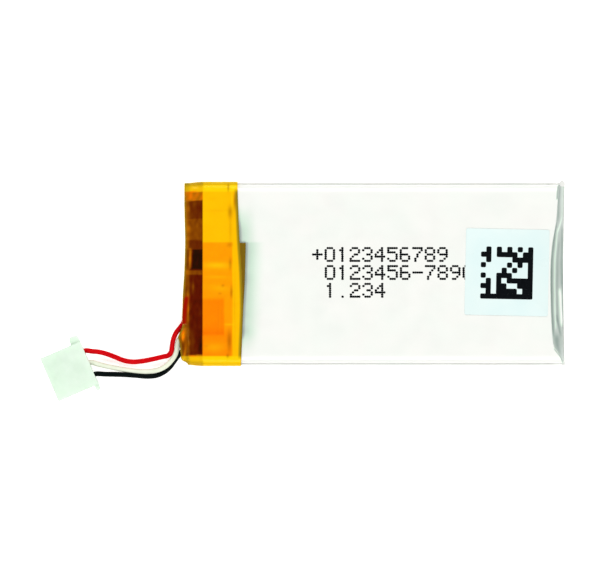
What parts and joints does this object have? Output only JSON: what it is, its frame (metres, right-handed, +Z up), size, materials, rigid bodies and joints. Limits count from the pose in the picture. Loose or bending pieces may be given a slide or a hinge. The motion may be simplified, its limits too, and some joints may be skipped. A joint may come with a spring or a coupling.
{
  "type": "pouch battery cell",
  "caption": "Flat lithium-polymer pouch cell with a folded tail, a taped head that holds its protection circuit, and short leads to a small plug.",
  "frame": {"origin": "middle of the cell's underside, measured without the leads and plug, on the surface that it lies on", "axes": "+X along the cell from the taped head to the folded tail, +Y across its width away from the leads, +Z up out of the labelled front face"},
  "size_m": [0.0517, 0.0218, 0.004],
  "materials": {
    "laminate": "satin aluminium laminate under a clear nylon skin",
    "cathode": "matt black coating on aluminium foil",
    "anode": "matt graphite coating on copper foil",
    "separator": "milky white film",
    "roll_tape": "green polypropylene tape",
    "tab_aluminium": "bright rolled",
    "tab_nickel": "rolled nickel",
    "tab_film": "black sealing film",
    "insulating_fibre": "dark vulcanised fibre",
    "board": "dark red-brown solder mask over glass laminate",
    "chip": "black moulding compound",
    "ceramic": "fired ceramic with tinned ends",
    "solder": "bright solder",
    "contact": "tinned bronze",
    "nylon": "natural moulded nylon, slightly translucent",
    "amber_tape": "clear amber polyimide film, glossy, with creases",
    "label": "translucent pale film with a printed black cell pattern",
    "red_insulation": "glossy red wire insulation",
    "white_insulation": "glossy white wire insulation",
    "black_insulation": "glossy black wire insulation"
  },
  "bodies": {
    "root": {"pouch_front_cup": "laminate", "pouch_back_sheet": "laminate", "cathode_winding": "cathode", "anode_winding": "anode", "inner_separator": "separator", "outer_separator": "separator", "roll_end_tape": "roll_tape", "positive_tab": "tab_aluminium", "negative_tab": "tab_nickel", "positive_tab_sealing_film": "tab_film", "negative_tab_sealing_film": "tab_film", "positive_weld_plate": "tab_nickel", "negative_weld_plate": "tab_nickel", "terrace_insulator": "insulating_fibre", "protection_board": "board", "power_mosfet": "chip", "protection_ic": "chip", "sense_resistor": "chip", "filter_capacitor": "ceramic", "thermistor": "ceramic", "red_solder_joint": "solder", "white_solder_joint": "solder", "black_solder_joint": "solder", "red_tinned_end": "solder", "white_tinned_end": "solder", "black_tinned_end": "solder", "red_lead": "red_insulation", "white_lead": "white_insulation", "black_lead": "black_insulation", "red_stripped_end": "solder", "white_stripped_end": "solder", "black_stripped_end": "solder", "red_crimp_contact": "contact", "white_crimp_contact": "contact", "black_crimp_contact": "contact", "plug_housing": "nylon", "head_tape": "amber_tape", "head_tape_under_layer": "amber_tape", "code_label": "label"}
  },
  "joints": []
}
